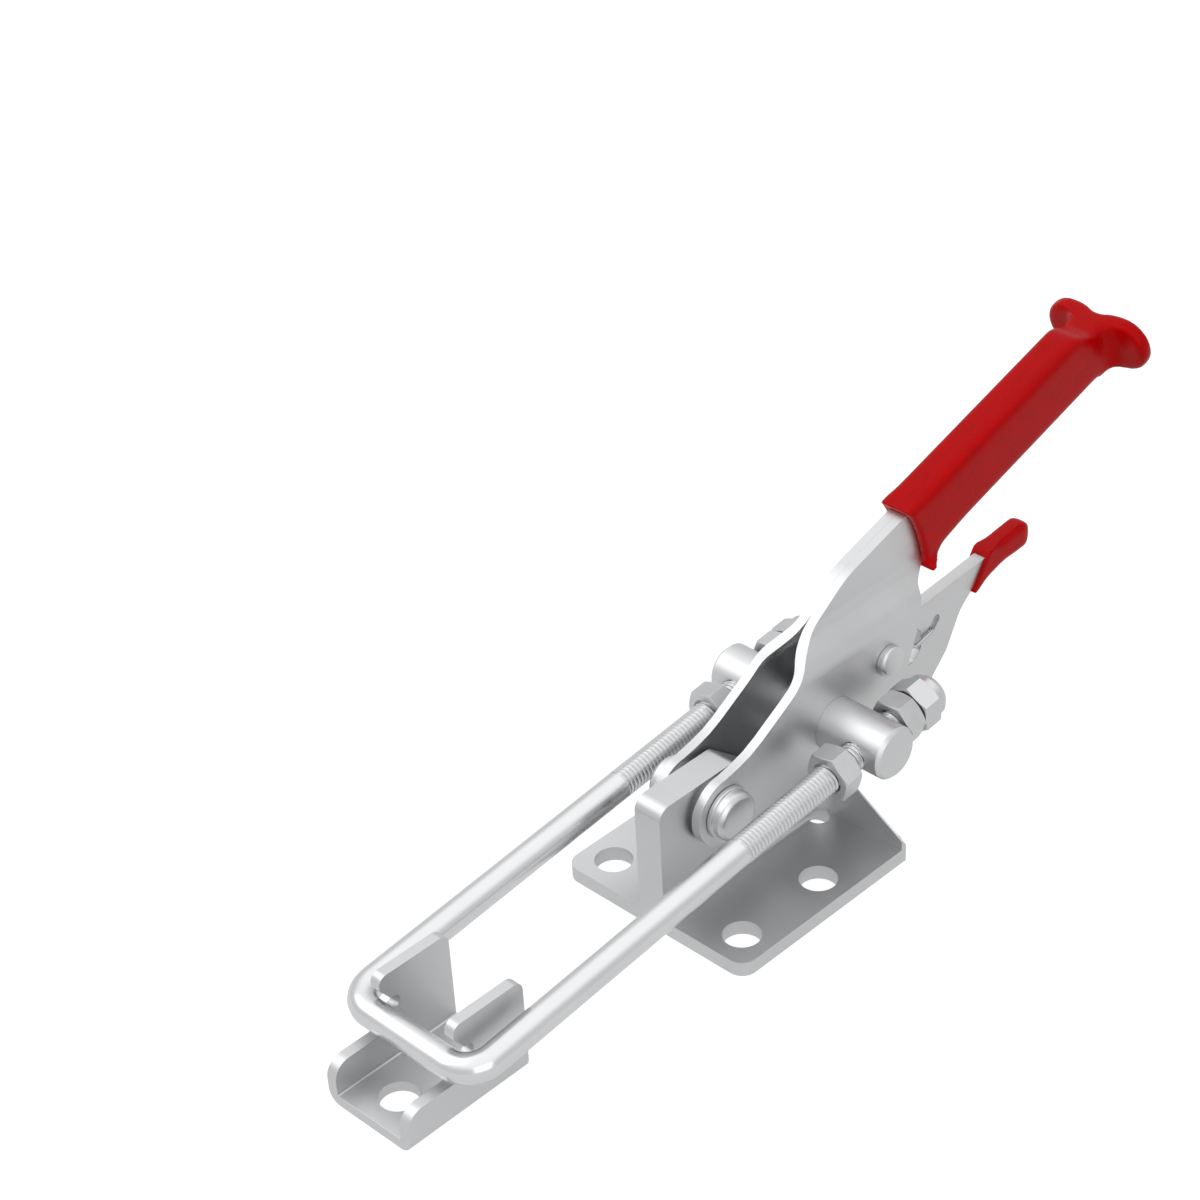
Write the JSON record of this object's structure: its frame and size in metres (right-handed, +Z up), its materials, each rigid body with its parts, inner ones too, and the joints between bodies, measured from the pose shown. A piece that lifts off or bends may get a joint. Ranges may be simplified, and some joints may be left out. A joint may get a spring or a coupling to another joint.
{
  "type": "over centre toggle latch",
  "caption": "Over centre toggle latch with a hooked catch, an adjustable U-bolt, a flanged base and a red handle with a sprung lock lever.",
  "frame": {"origin": "bottom of the base, centre of its four bolt holes", "axes": "+X from the catch back to the handle's end, +Y to the left side, +Z up"},
  "size_m": [0.2888, 0.0646, 0.1062],
  "materials": {
    "zinc_pressing": "bright zinc plated sheet",
    "zinc_rivet": "bright zinc plated rivet",
    "zinc_washer": "zinc plated washer",
    "zinc_turned": "bright zinc plated turned bar",
    "zinc_rod": "bright zinc plated bar",
    "zinc_nut": "bright zinc plated nut",
    "spring_wire": "drawn spring wire",
    "red_vinyl": "dipped vinyl",
    "nylon": "moulded nylon"
  },
  "bodies": {
    "base": {"base_left": "zinc_pressing", "base_right": "zinc_pressing", "pivot_rivet": "zinc_rivet", "pivot_washer_left": "zinc_washer", "pivot_washer_right": "zinc_washer", "catch_plate": "zinc_pressing"},
    "handle": {"handle_plate_left": "zinc_pressing", "handle_plate_right": "zinc_pressing", "handle_grip": "red_vinyl", "lock_rivet": "zinc_rivet"},
    "trunnion_set": {"trunnion": "zinc_turned", "front_nut_left": "zinc_nut", "front_nut_right": "zinc_nut", "rear_nut_left": "zinc_nut", "rear_nut_right": "zinc_nut", "lock_nut_left": "zinc_nut", "lock_nut_right": "zinc_nut", "lock_ring_left": "nylon", "lock_ring_right": "nylon"},
    "loop": {"u_bolt": "zinc_rod"},
    "lever": {"lock_lever": "zinc_pressing", "lock_lever_grip": "red_vinyl", "lock_spring": "spring_wire"}
  },
  "joints": [
    {"name": "handle_hinge", "type": "hinge", "parent": "base", "child": "handle", "pos_m": [-0.00425, 0, 0.031], "axis": [0, -1, 0], "range_deg": [0, 105]},
    {"name": "trunnion_turn", "type": "hinge", "parent": "handle", "child": "trunnion_set", "pos_m": [0.03845, 0, 0.0354], "axis": [0, -1, 0], "range_deg": [-87, 0]},
    {"name": "loop_adjust", "type": "slide", "parent": "trunnion_set", "child": "loop", "axis": [-0.9937, 0, -0.112], "range_m": [0, 0.006]},
    {"name": "lock_hinge", "type": "hinge", "parent": "handle", "child": "lever", "pos_m": [0.06005, 0, 0.0443], "axis": [0, -1, 0], "range_deg": [0, 15], "stiffness_Nm_per_rad": 0.3, "springref_deg": -20.05}
  ],
  "couplings": [
    {"joint": "trunnion_turn", "follows": "handle_hinge", "ratio": -0.82}
  ]
}
